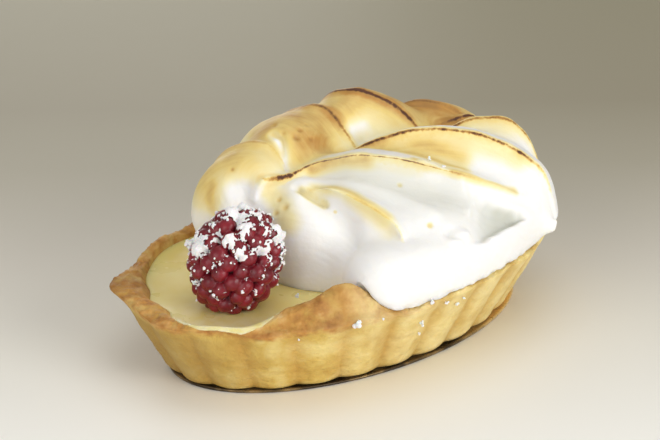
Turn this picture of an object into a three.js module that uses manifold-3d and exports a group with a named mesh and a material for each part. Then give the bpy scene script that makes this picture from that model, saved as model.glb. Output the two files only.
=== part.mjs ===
// A small oval lemon pie: a fluted pastry shell, lemon curd, piped and browned meringue, one raspberry, and the
// thin oval card that the pie comes on.
//
// Millimetres. +X runs along the oval towards the end that is all meringue, +Y across it, +Z up. The origin is
// the middle of the card's underside, on the table.
import * as THREE from 'three';
import { mergeVertices } from 'three/addons/utils/BufferGeometryUtils.js';
import Module from 'manifold-3d';

const wasm = await Module();
wasm.setup();

// Driving dimensions
const CARD = { a: 47.3, b: 26.8, thick: 0.6, lip: 0.75, shiftX: 0.7, shiftY: -0.2, angles: 48 };
const GAP = 0.3;
const SHELL = {
  footZ: CARD.thick + GAP,
  rimZ: 18.3,
  footA: 46.8,
  footB: 26.5,
  rimA: 57.1,
  rimB: 35.3,
  wall: 4,
  floor: 3.2,
  footRound: 0.3,
  levels: [0, 0.06, 0.35, 0.65, 0.86, 0.96],
};
const FLUTES = { count: 24, depth: 1.3, phase: 0.4, steps: 6 };
const CURD = { level: 16.8, dome: 0.5 };
const BERRY = {
  at: [-35, -5, 27.2],
  radius: 10,
  tall: 12,
  core: 2.2,
  drupelets: 104,
  bead: 1.95,
  beadDepth: 0.87,
  narrow: 0.05,
  lean: [1.1, -0.95],
  room: [11.8, 11.8, 13.4],
};
// The level that the meringue's underside starts from, and how far it stays inside the rim
const MERINGUE = { floor: 14, inside: 12, stations: 14 };

// Where the rim leaves the plain oval. Each entry is centred on an angle of the oval, in degrees, and fades over
// its spread: it lifts the rim, flares it outwards, widens it and raises a ridge towards its inner side, all in
// millimetres.
const RIM_FEATURES = [
  { at: 153, spread: 8, lift: 1.2, flare: 3.0, widen: 3.6, ridge: 0 },
  { at: 124, spread: 18, lift: 0.2, flare: 0.2, widen: -2.5, ridge: 0 },
  { at: 176, spread: 12, lift: 0.2, flare: -1.0, widen: 3.4, ridge: 0 },
  { at: -152, spread: 13, lift: -0.5, flare: -2.2, widen: -1.5, ridge: 0 },
  { at: -127, spread: 13, lift: 0.2, flare: 0, widen: 5.0, ridge: 2.6 },
  { at: -114, spread: 8.2, lift: 0.3, flare: 0.4, widen: 3.0, ridge: 5.6 },
];
// Heights across the rim's crown, from its outer edge to the curd
const CROWN = [[0.12, 0.25], [0.45, 0.6], [0.72, 0.3], [1, -1.5]];
const RIDGE_AT = 0.72;

// The piped folds of meringue. Each has a crest, from the spine along the middle out to the rim, and a face on
// its open side, whose foot lies at the offset given by face. back is the offset of the soft side behind the
// crest, and hollow is how far the face is scooped (negative where it swells).
const FOLDS = [
  {
    crest: [[-13, 1, 36.5], [-11.4, -8, 39.2], [-7.4, -18, 36.6], [-5.6, -25.5, 33], [-7.5, -30, 25]],
    face: [-4, 2, -10],
    back: [14, 1, -6],
    hollow: 1,
  },
  {
    crest: [
      [-18.2, 5.5, 38.6], [-13.3, 3, 39], [-8.6, 1, 41.3], [0.2, -7.5, 43.9], [11.2, -17, 41.3], [22, -24, 36.5],
      [33, -26.5, 30],
    ],
    face: [-7, -5, -8],
    back: [12, 9, -6],
    hollow: 1.8,
  },
  {
    crest: [[4, 6, 38], [9.8, -1, 43], [18.4, -7, 45.2], [30.5, -16, 42.6], [39.4, -24.4, 34.6], [41, -28, 24]],
    face: [-8, -5, -9],
    back: [12, 9, -7],
    hollow: 0.6,
  },
  {
    crest: [[31, 3, 37], [38, -2, 41], [45, -8.5, 40.5], [48.7, -13, 33], [48, -15, 23]],
    face: [-8, -6, -9],
    back: [6, 7, -7],
    hollow: -0.8,
  },
  {
    crest: [[36, 6, 38], [44, 4, 38.5], [50.5, 2, 33], [51.5, 1, 23]],
    face: [-4, -8, -8],
    back: [-1, 10, -7],
    hollow: -0.8,
  },
  {
    crest: [[-10, 6, 38], [-11.5, 13, 43.4], [-17.5, 21.5, 40], [-20, 24, 31], [-19, 24, 22]],
    face: [-10, -6, -9],
    back: [11, 4, -8],
    hollow: -2.6,
  },
  {
    crest: [[8, 2, 37], [8.6, 9.5, 42.8], [7.4, 16, 46.6], [2.5, 24, 43.5], [-1, 28.5, 33], [-1, 28.5, 22]],
    face: [-14, 1, -8],
    back: [13, 5, -9],
    hollow: -2.8,
  },
  {
    crest: [[27.5, 2.5, 38], [24, 8, 44.4], [16.5, 14, 49], [13.5, 21, 46.5], [15, 28, 35], [16, 29.5, 22]],
    face: [-12, -2, -10],
    back: [15, 4, -9],
    hollow: -1.6,
  },
  {
    crest: [[44, 2, 36], [41, 9, 40], [34.5, 16, 41], [31.5, 22.5, 34], [32.5, 25.5, 22]],
    face: [-12, -3, -9],
    back: [13, 2, -8],
    hollow: -1.8,
  },
];

// Rounded masses of meringue under and between the folds: centre, half-sizes and turn about Z in degrees
const MASSES = [
  { at: [16, 0, 19], half: [38, 27, 19], turn: 0 },
  { at: [-9.5, -1, 26], half: [13, 12, 12.5], turn: -25 },
  { at: [-16, 13, 28.5], half: [10.5, 11, 14], turn: 0 },
  { at: [-2, 15.5, 33], half: [11.5, 12, 13.5], turn: 0 },
  { at: [-3, -15, 22], half: [12, 13, 11.5], turn: 0 },
  { at: [6, -20, 23], half: [18, 12.5, 12.5], turn: -20 },
  { at: [27, -16, 23], half: [20, 13, 13], turn: 10 },
];
// The roll of meringue that lies on the rim, from beside the raspberry right round to the far side. It is
// measured from the rim's outer edge, and its section is a rounded square.
const ROLL = { from: -112, to: 113, inset: 9, half: 9.3, z: 23, tall: 8, square: 2.5 };
// The open pocket near the right-hand end of the broad front fold
const SCOOP = { at: [21, -30.5, 31.5], half: [9.5, 3.6, 4.4], turn: 22 };

// Small helpers
const TAU = Math.PI * 2;
const radians = THREE.MathUtils.degToRad;
const clamp = THREE.MathUtils.clamp;
const smooth = THREE.MathUtils.smoothstep;
const vec = (list) => new THREE.Vector3(...list);

// Skins a row of closed rings of equal length and closes each end with a fan
function skin(rings) {
  const count = rings[0].length;
  const points = rings.flat();
  const index = [];
  for (let r = 0; r + 1 < rings.length; r += 1) {
    for (let i = 0; i < count; i += 1) {
      const a = r * count + i;
      const b = r * count + ((i + 1) % count);
      index.push(a, b, a + count, b, b + count, a + count);
    }
  }
  for (const r of [0, rings.length - 1]) {
    const hub = points.length;
    points.push(rings[r].reduce((sum, p) => sum.add(p), new THREE.Vector3()).divideScalar(count));
    for (let i = 0; i < count; i += 1) {
      const a = r * count + i;
      const b = r * count + ((i + 1) % count);
      index.push(...(r === 0 ? [b, a, hub] : [a, b, hub]));
    }
  }
  const geometry = new THREE.BufferGeometry();
  geometry.setAttribute('position', new THREE.Float32BufferAttribute(points.flatMap((p) => p.toArray()), 3));
  geometry.setIndex(index);
  return volume(geometry) < 0 ? turnedOut(geometry) : geometry;
}

function volume(geometry) {
  const index = geometry.index.array;
  const corner = [0, 1, 2].map(() => new THREE.Vector3());
  let total = 0;
  for (let i = 0; i < index.length; i += 3) {
    corner.forEach((point, k) => point.fromBufferAttribute(geometry.attributes.position, index[i + k]));
    total += corner[0].dot(corner[1].cross(corner[2])) / 6;
  }
  return total;
}

function turnedOut(geometry) {
  const index = Array.from(geometry.index.array);
  for (let i = 0; i < index.length; i += 3) {
    [index[i], index[i + 1]] = [index[i + 1], index[i]];
  }
  geometry.setIndex(index);
  return geometry;
}

function toSolid(geometry) {
  geometry.deleteAttribute('normal');
  geometry.deleteAttribute('uv');
  const merged = mergeVertices(geometry, 1e-4);
  return new wasm.Manifold(new wasm.Mesh({
    numProp: 3,
    vertProperties: new Float32Array(merged.attributes.position.array),
    triVerts: new Uint32Array(merged.index.array),
  }));
}

function toGeometry(solid) {
  const mesh = solid.getMesh();
  const geometry = new THREE.BufferGeometry();
  geometry.setAttribute('position', new THREE.BufferAttribute(mesh.vertProperties, 3));
  geometry.setIndex(new THREE.BufferAttribute(mesh.triVerts, 1));
  return geometry;
}

// A point of an oval at an angle, moved inwards along the oval's own normal
function ovalPoint(a, b, angle, inset, z) {
  const nx = Math.cos(angle) / a;
  const ny = Math.sin(angle) / b;
  const scale = inset / Math.hypot(nx, ny);
  return new THREE.Vector3(a * Math.cos(angle) - nx * scale, b * Math.sin(angle) - ny * scale, z);
}

// Angles that step round the rim in equal lengths, starting at the raspberry end
function evenAngles(count) {
  const fine = 2880;
  const lengths = [0];
  for (let i = 1; i <= fine; i += 1) {
    const p = ovalPoint(SHELL.rimA, SHELL.rimB, (i * TAU) / fine - Math.PI, 0, 0);
    const q = ovalPoint(SHELL.rimA, SHELL.rimB, ((i - 1) * TAU) / fine - Math.PI, 0, 0);
    lengths.push(lengths[i - 1] + p.distanceTo(q));
  }
  const angles = [];
  let k = 0;
  for (let i = 0; i < count; i += 1) {
    const wanted = (lengths[fine] * i) / count;
    while (lengths[k + 1] <= wanted) k += 1;
    const part = (wanted - lengths[k]) / (lengths[k + 1] - lengths[k]);
    angles.push(((k + part) * TAU) / fine - Math.PI);
  }
  return angles;
}

// How the rim is shaped at an angle, with the small unevenness of baked pastry
function rimShape(angle) {
  const shape = { lift: 0, flare: 0, widen: 0, ridge: 0 };
  for (const feature of RIM_FEATURES) {
    const turn = Math.atan2(Math.sin(angle - radians(feature.at)), Math.cos(angle - radians(feature.at)));
    const weight = Math.exp(-((turn / radians(feature.spread)) ** 2));
    for (const key of Object.keys(shape)) shape[key] += feature[key] * weight;
  }
  shape.lift += 0.35 * Math.sin(9 * angle + 1) + 0.25 * Math.sin(17 * angle + 2.2);
  shape.widen += 0.4 * Math.sin(11 * angle + 0.6);
  return shape;
}

// The outer face of the shell at a fraction of its height: drafted, and fluted with broad ridges
function shellOutside(angle, along, fraction) {
  const a = THREE.MathUtils.lerp(SHELL.footA, SHELL.rimA, fraction);
  const b = THREE.MathUtils.lerp(SHELL.footB, SHELL.rimB, fraction);
  const wave = Math.abs(Math.cos(Math.PI * (along * FLUTES.count - FLUTES.phase)));
  const fade = 1 - 0.6 * smooth(fraction, 0.75, 1);
  return { a, b, inset: FLUTES.depth * (1 - wave ** 0.7) * fade };
}

// The inner face of the shell, at a height, moved inwards by a clearance
function shellInside(angle, z, clearance) {
  const shape = rimShape(angle);
  const fraction = clamp((z - SHELL.footZ) / (SHELL.rimZ - SHELL.footZ), 0, 1);
  const a = THREE.MathUtils.lerp(SHELL.footA, SHELL.rimA, fraction);
  const b = THREE.MathUtils.lerp(SHELL.footB, SHELL.rimB, fraction);
  const wall = SHELL.wall + shape.widen * fraction - shape.flare * fraction * 0.4;
  return ovalPoint(a, b, angle, wall + clearance, z);
}

function crustGeometry(grow) {
  const count = FLUTES.count * FLUTES.steps;
  const angles = evenAngles(count);
  const ring = (place) => angles.map((angle, i) => place(angle, i / count, rimShape(angle)));
  const rise = SHELL.rimZ - SHELL.footZ;
  const rings = [];
  for (const fraction of SHELL.levels) {
    rings.push(ring((angle, along, shape) => {
      const out = shellOutside(angle, along, fraction);
      const bend = smooth(fraction, 0.6, 1);
      const foot = fraction === 0 ? SHELL.footRound : 0;
      const z = SHELL.footZ + fraction * rise + shape.lift * bend * 0.8;
      return ovalPoint(out.a, out.b, angle, out.inset + foot - shape.flare * bend - grow, z);
    }));
  }
  for (const [across, up] of CROWN) {
    const ridge = smooth(across, 0, RIDGE_AT) * (1 - smooth(across, RIDGE_AT, 1));
    rings.push(ring((angle, along, shape) => {
      const outside = ovalPoint(SHELL.rimA, SHELL.rimB, angle, -shape.flare - grow, 0);
      const inside = shellInside(angle, CURD.level, grow);
      const z = SHELL.rimZ + up + shape.lift * (1 - across ** 3) + shape.ridge * ridge + grow;
      return outside.lerp(inside, across).setZ(across === 1 ? CURD.level : z);
    }));
  }
  rings.push(ring((angle) => shellInside(angle, CURD.level - 4, grow)));
  rings.push(ring((angle) => shellInside(angle, SHELL.footZ + SHELL.floor, grow)));
  return skin(rings);
}

function curdGeometry(grow) {
  const angles = evenAngles(FLUTES.count * 3);
  const bottom = SHELL.footZ + SHELL.floor + GAP;
  const edge = (z) => angles.map((angle) => shellInside(angle, z, GAP - grow));
  const top = edge(CURD.level - 0.3);
  const rings = [edge(bottom), edge(CURD.level - 4), top];
  for (const shrink of [0.97, 0.6]) {
    const height = CURD.level + grow + CURD.dome * (1 - shrink);
    rings.push(top.map((p) => new THREE.Vector3(p.x * shrink, p.y * shrink, height)));
  }
  return skin(rings);
}

function cardGeometry() {
  const angles = evenAngles(CARD.angles);
  const ring = (inset, z) => angles.map((angle) => (
    ovalPoint(CARD.a, CARD.b, angle, inset, z).add(new THREE.Vector3(CARD.shiftX, CARD.shiftY, 0))
  ));
  return skin([ring(0.5, 0), ring(0, 0.3), ring(0, CARD.lip), ring(0.35, CARD.lip), ring(0.8, CARD.thick)]);
}

// A berry made of round drupelets, spread evenly over an egg shape. It narrows and leans over, and is flattened
// where it sits on the curd.
function berryGeometry() {
  const egg = new THREE.Vector3(BERRY.radius, BERRY.radius, BERRY.tall);
  const golden = Math.PI * (3 - Math.sqrt(5));
  const beads = [];
  for (let i = 0; i < BERRY.drupelets; i += 1) {
    const up = 1 - (2 * (i + 0.5)) / BERRY.drupelets;
    const out = Math.sqrt(1 - up * up);
    const centre = new THREE.Vector3(out * Math.cos(i * golden), out * Math.sin(i * golden), up);
    beads.push(centre.multiply(egg).multiplyScalar(BERRY.beadDepth));
  }
  const geometry = new THREE.IcosahedronGeometry(1, 11);
  const position = geometry.attributes.position;
  const direction = new THREE.Vector3();
  for (let i = 0; i < position.count; i += 1) {
    direction.fromBufferAttribute(position, i).normalize();
    let reach = 1 / direction.clone().divide(egg).length() - BERRY.core;
    for (const bead of beads) {
      const near = direction.dot(bead);
      const inside = near * near - bead.lengthSq() + BERRY.bead ** 2;
      if (inside > 0) reach = Math.max(reach, near + Math.sqrt(inside));
    }
    direction.multiplyScalar(reach);
    const height = direction.z / BERRY.tall;
    const narrow = 1 - BERRY.narrow * smooth(-height, -0.1, 1);
    const x = BERRY.at[0] + direction.x * narrow + BERRY.lean[0] * height;
    const y = BERRY.at[1] + direction.y * narrow + BERRY.lean[1] * height;
    position.setXYZ(i, x, y, Math.max(BERRY.at[2] + direction.z, CURD.level + CURD.dome + GAP));
  }
  geometry.deleteAttribute('normal');
  geometry.deleteAttribute('uv');
  return mergeVertices(geometry, 1e-4);
}

// The point on the meringue's underside below a point of a fold, drawn in where the fold hangs over the rim
function footUnder(point) {
  const reach = Math.hypot(point.x / (SHELL.rimA - MERINGUE.inside), point.y / (SHELL.rimB - MERINGUE.inside));
  const draw = Math.max(1, reach);
  return new THREE.Vector3(point.x / draw, point.y / draw, MERINGUE.floor);
}

// One fold of meringue: closed sections strung along its crest, each running from the crest down the face,
// along the bottom and up the back
function foldGeometry(fold) {
  const crest = new THREE.CatmullRomCurve3(fold.crest.map(vec), false, 'centripetal');
  const face = vec(fold.face);
  const back = vec(fold.back);
  const rings = [];
  for (let i = 0; i <= MERINGUE.stations; i += 1) {
    const s = i / MERINGUE.stations;
    const top = crest.getPoint(s);
    const open = 0.35 + 0.65 * Math.sin(Math.PI * clamp(s * 0.9 + 0.08, 0, 1));
    const toe = top.clone().addScaledVector(face, open);
    const heel = top.clone().addScaledVector(back, open);
    const outward = crest.getTangent(s).cross(face).normalize();
    if (outward.dot(face.clone().setZ(0)) < 0) outward.negate();
    const ring = [top];
    for (const part of [0.12, 0.35, 0.6, 0.85]) {
      const depth = -fold.hollow * open * Math.sin(Math.PI * part);
      ring.push(top.clone().lerp(toe, part).addScaledVector(outward, depth));
    }
    ring.push(toe);
    ring.push(footUnder(toe.clone().lerp(heel, 0.15)));
    ring.push(footUnder(toe.clone().lerp(heel, 0.85)));
    ring.push(heel);
    for (const part of [0.7, 0.4, 0.15]) {
      ring.push(top.clone().lerp(heel, part).add(new THREE.Vector3(0, 0, 1.4 * open * Math.sin(Math.PI * part))));
    }
    rings.push(ring);
  }
  return skin(rings);
}

function rollGeometry() {
  const stations = 28;
  const sides = 16;
  const endLength = 0.04;
  const round = (value) => Math.sign(value) * Math.abs(value) ** (2 / ROLL.square);
  const rings = [];
  for (let i = -2; i <= stations + 2; i += 1) {
    // Two extra sections near each end round it off
    const even = clamp(i / stations, 0, 1);
    const along = clamp(endLength + (1 - 2 * endLength) * even, 0, 1) + (i - even * stations) * endLength * 0.46;
    const fromEnd = Math.min(along, 1 - along) / endLength;
    const end = fromEnd < 1 ? Math.sqrt(1 - (1 - fromEnd) ** 2) : 1;
    const angle = radians(THREE.MathUtils.lerp(ROLL.from, ROLL.to, along));
    const ring = [];
    for (let k = 0; k < sides; k += 1) {
      const turn = (k * TAU) / sides;
      const inset = ROLL.inset - ROLL.half * end * round(Math.cos(turn));
      ring.push(ovalPoint(SHELL.rimA, SHELL.rimB, angle, inset, ROLL.z + ROLL.tall * end * round(Math.sin(turn))));
    }
    rings.push(ring);
  }
  return skin(rings);
}

function massGeometry(mass, detail) {
  const geometry = new THREE.IcosahedronGeometry(1, detail);
  geometry.scale(...mass.half);
  geometry.rotateZ(radians(mass.turn));
  geometry.translate(...mass.at);
  return geometry;
}

function meringueGeometry() {
  const pieces = FOLDS.map((fold) => toSolid(foldGeometry(fold)));
  pieces.push(...MASSES.map((mass) => toSolid(massGeometry(mass, 3))));
  pieces.push(toSolid(rollGeometry()));
  let solid = pieces.reduce((whole, piece) => whole.add(piece));
  const berryRoom = { at: BERRY.at, half: BERRY.room, turn: 0 };
  const cuts = [massGeometry(SCOOP, 3), massGeometry(berryRoom, 4), crustGeometry(GAP), curdGeometry(GAP)];
  for (const cut of cuts) {
    solid = solid.subtract(toSolid(cut));
  }
  const parts = solid.decompose().sort((a, b) => b.volume() - a.volume());
  return toGeometry(parts[0]);
}

const pie = new THREE.Group();

function addPiece(name, geometry, color, roughness, metalness) {
  const material = new THREE.MeshStandardMaterial({ color, roughness, metalness });
  const mesh = new THREE.Mesh(geometry, material);
  mesh.name = name;
  pie.add(mesh);
}

addPiece('base_card', cardGeometry(), 0xb08a4a, 0.3, 0.8);
addPiece('crust', crustGeometry(0), 0xdcae5a, 0.75, 0);
addPiece('lemon_curd', curdGeometry(0), 0xefe0a0, 0.25, 0);
addPiece('meringue', meringueGeometry(), 0xf6efe2, 0.6, 0);
addPiece('raspberry', berryGeometry(), 0x8a1226, 0.35, 0);

export default pie;
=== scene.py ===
"""The looks of a small oval lemon pie: fluted pastry, lemon curd, folded and browned meringue, a raspberry.

Shapes are worked out in millimetres, from the same sizes as the solids, and scaled to metres as each mesh is
made.
"""

import math

import bmesh
import bpy
import numpy as np
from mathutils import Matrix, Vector, kdtree


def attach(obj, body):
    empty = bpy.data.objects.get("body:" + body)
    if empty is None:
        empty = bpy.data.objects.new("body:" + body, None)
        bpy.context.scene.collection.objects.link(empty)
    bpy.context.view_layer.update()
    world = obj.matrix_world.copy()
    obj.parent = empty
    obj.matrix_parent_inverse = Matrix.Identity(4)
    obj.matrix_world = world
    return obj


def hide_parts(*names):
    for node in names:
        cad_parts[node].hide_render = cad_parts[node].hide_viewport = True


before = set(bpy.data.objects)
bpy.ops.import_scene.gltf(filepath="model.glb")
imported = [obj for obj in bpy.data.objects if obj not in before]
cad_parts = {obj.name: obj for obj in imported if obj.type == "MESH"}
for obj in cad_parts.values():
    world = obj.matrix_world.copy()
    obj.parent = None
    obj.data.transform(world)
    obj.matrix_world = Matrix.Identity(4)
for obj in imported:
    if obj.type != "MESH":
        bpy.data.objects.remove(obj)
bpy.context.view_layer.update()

MM = 0.001

# The pie's own sizes, in millimetres
CARD = dict(a=47.3, b=26.8, thick=0.6, lip=0.75, shift=(0.7, -0.2))
SHELL = dict(foot_z=0.9, rim_z=18.3, foot_a=46.8, foot_b=26.5, rim_a=57.1, rim_b=35.3, wall=4.0, floor=3.2)
SHELL_RINGS = dict(wall=52, crown=34, inside=8)
FLUTES = dict(count=24, depth=1.3, phase=0.4, steps=44)
CURD = dict(level=16.8, dome=0.5)
CURD_LAP = dict(at=-150, spread=16, share=0.92, milky=27)
# Painted light on the curd beside the meringue, standing for light bounced off it: its middle and reach
CURD_PAINTED_LIGHT = dict(at=(-20.5, -11.5), reach=7.5)
BERRY = dict(centre=(-35.0, -5.0, 27.2), radius=10.0, tall=12.0, core=2.2, drupelets=104, bead=1.95,
             bead_depth=0.87, narrow=0.05, lean=(1.1, -0.95))
BERRY_HALF = np.array([BERRY["radius"], BERRY["radius"], BERRY["tall"]])
MERINGUE = dict(floor=14.0, inside=12.0, voxel=0.42)
SUGAR = dict(parts=420, grains_in_clump=7)
GAPS = dict(curd=0.3, berry=0.35, sugar=0.4, meringue=0.25)

# Where the rim leaves the plain oval: angle and spread in degrees; lift, outward flare, extra width and
# the height of a ridge towards its inner side
RIM_FEATURES = [
    dict(at=153, spread=8, lift=1.2, flare=3.0, widen=3.6),
    dict(at=124, spread=18, lift=0.2, flare=0.2, widen=-2.5),
    dict(at=176, spread=12, lift=0.2, flare=-1.0, widen=3.4),
    dict(at=-152, spread=13, lift=-0.5, flare=-2.2, widen=-1.5),
    dict(at=-127, spread=13, lift=0.2, flare=0.0, widen=5.0, ridge=2.6),
    dict(at=-114, spread=8.2, lift=0.3, flare=0.4, widen=3.0, ridge=5.6),
]

# The folds of meringue. crest runs from the spine out to the rim. face and back are the offsets of the foot
# of the open side and of the soft side. hollow is how far the face is scooped, below zero where it swells.
# edge is how dark the crest is browned, and fade is how far along the crest that goes.
FOLDS = [
    dict(crest=[(-13, 1, 36.5), (-11.4, -8, 39.2), (-7.4, -18, 36.6), (-5.6, -25.5, 33), (-7.5, -30, 25)],
         face=(-4, 2, -10), back=(14, 1, -6), hollow=1.0, edge=0.12),
    dict(crest=[(-18.2, 5.5, 38.6), (-13.3, 3, 39.0), (-8.6, 1, 41.3), (0.2, -7.5, 43.9), (11.2, -17, 41.3),
                (22, -24, 36.5), (33, -26.5, 30)],
         face=(-7, -5, -8), back=(12, 9, -6), hollow=1.8, edge=0.95, fade=0.72),
    dict(crest=[(4, 6, 38), (9.8, -1, 43), (18.4, -7, 45.2), (30.5, -16, 42.6), (39.4, -24.4, 34.6),
                (41, -28, 24)],
         face=(-8, -5, -9), back=(12, 9, -7), hollow=0.6, edge=0.8, fade=0.82),
    dict(crest=[(31, 3, 37), (38, -2, 41), (45, -8.5, 40.5), (48.7, -13, 33), (48, -15, 23)],
         face=(-8, -6, -9), back=(6, 7, -7), hollow=-0.8, edge=0.55),
    dict(crest=[(36, 6, 38), (44, 4, 38.5), (50.5, 2, 33), (51.5, 1, 23)],
         face=(-4, -8, -8), back=(-1, 10, -7), hollow=-0.8, edge=0.6),
    dict(crest=[(-10, 6, 38), (-11.5, 13, 43.4), (-17.5, 21.5, 40), (-20, 24, 31), (-19, 24, 22)],
         face=(-10, -6, -9), back=(11, 4, -8), hollow=-2.6, edge=0.15),
    dict(crest=[(8, 2, 37), (8.6, 9.5, 42.8), (7.4, 16, 46.6), (2.5, 24, 43.5), (-1, 28.5, 33),
                (-1, 28.5, 22)],
         face=(-14, 1, -8), back=(13, 5, -9), hollow=-2.8, edge=0.4),
    dict(crest=[(27.5, 2.5, 38), (24, 8, 44.4), (16.5, 14, 49), (13.5, 21, 46.5), (15, 28, 35),
                (16, 29.5, 22)],
         face=(-12, -2, -10), back=(15, 4, -9), hollow=-1.6, edge=0.6),
    dict(crest=[(44, 2, 36), (41, 9, 40), (34.5, 16, 41), (31.5, 22.5, 34), (32.5, 25.5, 22)],
         face=(-12, -3, -9), back=(13, 2, -8), hollow=-1.8, edge=0.15),
]

# Rounded masses under the folds, and three small nubs at the near right: the middle, the half sizes and the
# turn in degrees
MASSES = [
    ((16, 0, 19), (38, 27, 19), 0),
    ((-9.5, -1, 26), (13, 12, 12.5), -25),
    ((-16, 13, 28.5), (10.5, 11, 14), 0),
    ((-2, 15.5, 33), (11.5, 12, 13.5), 0),
    ((-3, -15, 22), (12, 13, 11.5), 0),
    ((6, -20, 23), (18, 12.5, 12.5), -20),
    ((27, -16, 23), (20, 13, 13), 10),
    ((39.0, -29.2, 23.9), (1.0, 0.6, 0.55), -40),
    ((38.3, -29.7, 21.8), (1.0, 0.8, 0.9), -40),
    ((38.9, -29.3, 22.9), (0.7, 0.9, 0.6), -10),
]
ROLL = dict(start=-112, end=113, inset=9.0, half=9.3, z=23.0, tall=8.0, square=2.5)

# Soft dents (depth above zero) and swellings (below zero) in the meringue: a line, a depth and a reach
PRESSES = [
    ([(-13, -6, 36.5), (-11, -12.7, 33.1), (-11.5, -16.7, 29), (-12, -20, 24), (-12, -22, 18)], 2.0, 2.8),
    ([(-7, -1, 40), (2.5, -10, 41), (12.7, -18.7, 37.9)], 1.1, 3.2),
    ([(-15, 3.5, 38.5), (-10.3, -0.9, 38.5), (-5.8, -5.9, 38.3), (2, -17.3, 35.6), (4.5, -25, 33.5)],
     -0.8, 2.0),
    ([(-14.1, -0.5, 37.6), (-13.9, -1.9, 37.3), (-13.2, -3.2, 36.9), (-11.9, -5.2, 35.8),
      (-10.9, -7.3, 34.6)], 1.4, 0.6),
    ([(-13.2, -3.2, 36.8), (-12.4, -4.3, 36.1), (-11.6, -5.7, 35.4)], 1.2, 0.8),
    ([(17, -21, 37.5), (16, -24.5, 34.5), (13.5, -27.5, 32)], -0.8, 0.9),
    ([(4.9, -30.2, 30.9), (5.9, -29.6, 31.3)], 0.9, 0.9),
    ([(8.0, -31.4, 30.3), (8.8, -31.6, 30)], -1.0, 1.1),
    ([(4.4, -32.2, 29.6), (5.8, -32.6, 29.3)], -0.7, 0.8),
    ([(-17.5, 5.0, 39.3), (-18.8, 5.5, 38.3), (-20.1, 5.7, 36.6), (-21.4, 5.3, 34.7)], -1.1, 0.75),
    ([(-23, 10, 37.5), (-21.8, 8.2, 36.4), (-22, 6.5, 34.5)], 1.2, 2.2),
    ([(-20, 8.5, 38.5), (-23.5, 7, 35.5), (-25.5, 6, 32)], 1.3, 2.4),
    ([(-8.3, 15, 44.6), (-7.9, 12.1, 43.9), (-8.7, 10.4, 41.9), (-9.4, 9.2, 39.9), (-10.5, 7.3, 38.3)],
     1.3, 0.8),
    ([(11, -14.6, 41.6), (11.6, -15, 41.4)], -0.6, 0.6),
    ([(12.6, -15.6, 41.2), (13.2, -16.3, 41)], -0.7, 0.55),
    ([(14, -17.6, 40.6), (14.6, -18.3, 40.2)], -0.5, 0.6),
]

# Clumps of sugar apart from the berry's dusted top: a point and a size
FALLEN_SUGAR = [
    ((-23.6, -32.6, 18.9), 0.8), ((-5.4, -33.3, 13.6), 0.5), ((-4.3, -31.0, 9.6), 0.35),
    ((-3.9, -34.6, 18.6), 0.5), ((0.3, -34.8, 17.2), 0.4), ((3.9, -34.3, 15.5), 0.4),
    ((5.6, -34.6, 16.6), 0.3), ((-34.6, -25.8, 16.0), 0.3), ((-42.8, 2.1, 31.4), 0.95),
    ((13.5, -14.0, 41.3), 0.4), ((15.0, -17.4, 40.2), 0.4), ((-22.5, -10.8, 17.2), 0.4),
    ((-30.5, -23.8, 17.5), 0.25), ((-17.2, -33.6, 18.3), 0.25),
]

# Small pits left by burst bubbles: a point and the pit's reach
PITS = [
    ((-5.9, 16.6, 45.2), 0.5), ((-6.8, 12.7, 44.6), 0.45), ((-5.0, 9.9, 44.1), 0.8),
    ((-3.1, 11, 44.9), 0.5), ((-0.4, 11.9, 45.2), 0.4), ((-2.2, 8.3, 43.3), 0.4),
    ((-17.8, 0.9, 35.3), 0.55), ((-18.4, -1.9, 34.5), 0.6), ((-19.9, -0.5, 33), 0.5),
    ((-10, -9.2, 33.4), 0.35), ((-1.5, -9, 40.4), 0.5), ((4.3, -14.7, 37.7), 0.45),
    ((2.3, -26.9, 32.6), 0.6), ((-21.5, 12.7, 39.7), 0.4),
]

# The open pocket at the near right: three corners, how deep it is along the side opposite the last of them,
# and how softly it starts at the sides opposite each corner
POCKET = dict(corners=[(18.0, -22.3, 36.0), (32, -29.0, 26.6), (4.5, -34.3, 27.5)], depth=3.6,
              soft=(0.07, 0.42, 0.16))

# The notch between the two front folds, along which its shadow is painted
NOTCH = [(-13.7, -1.9, 37), (-13, -3.4, 36.4), (-11.8, -5.3, 35.4), (-11.1, -6.7, 34.7)]

# Lines along which painted shade greys the meringue, on the broad front face that turns from the key light
# and in
# the notch: how far each reaches and how strong the painted shade is
PAINTED_SHADE_LINES = [
    ([(-3, -5, 39), (4.5, -15.5, 37.4), (11, -22.5, 34.5)], 6.5, 0.65),
    (NOTCH, 0.8, 1.3),
]

# Lines along which the meringue stays white, and how far each reaches
PALE = [
    ([(-8.3, 15, 44.6), (-8.7, 10.4, 41.9), (-10.5, 7.3, 38.3)], 1.1),
    ([(-23.3, 9.6, 36.2), (-21.8, 8.5, 36), (-22, 5.5, 33)], 3.4),
    ([(-26, 7, 31), (-23, 3, 30)], 3.5),
    ([(-17.5, 5, 39.3), (-20.1, 5.7, 36.6), (-21.4, 5.3, 34.7)], 1.0),
    ([(10.6, -14.4, 41.6), (15, -18.6, 40)], 0.8),
    ([(10.6, 8.6, 42.2), (13.5, 7.6, 43)], 2.0),
]

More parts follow.
